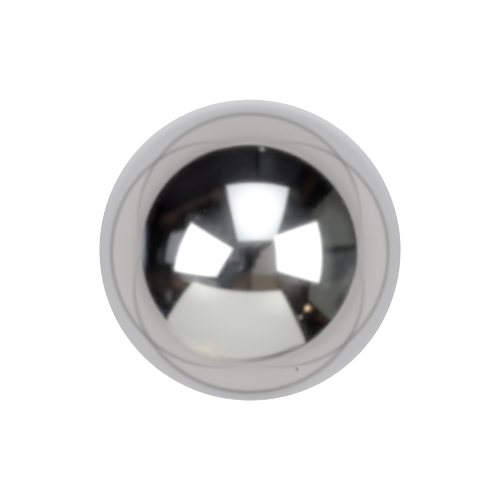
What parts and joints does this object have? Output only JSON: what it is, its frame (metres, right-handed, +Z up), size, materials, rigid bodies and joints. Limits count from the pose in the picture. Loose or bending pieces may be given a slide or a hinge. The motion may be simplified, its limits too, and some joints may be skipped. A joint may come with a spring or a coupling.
{
  "type": "steel ball",
  "caption": "Loose solid steel ball: a plain sphere, ground and lapped to a bright mirror, for small bearings, detents, check valves and chucks.",
  "frame": {"origin": "centre of the ball", "axes": "+Z up; a sphere is the same about every axis through its centre, so X and Y are free"},
  "size_m": [0.0064, 0.0064, 0.0064],
  "materials": {
    "steel": "polished"
  },
  "bodies": {
    "root": {"ball": "steel"}
  },
  "joints": []
}
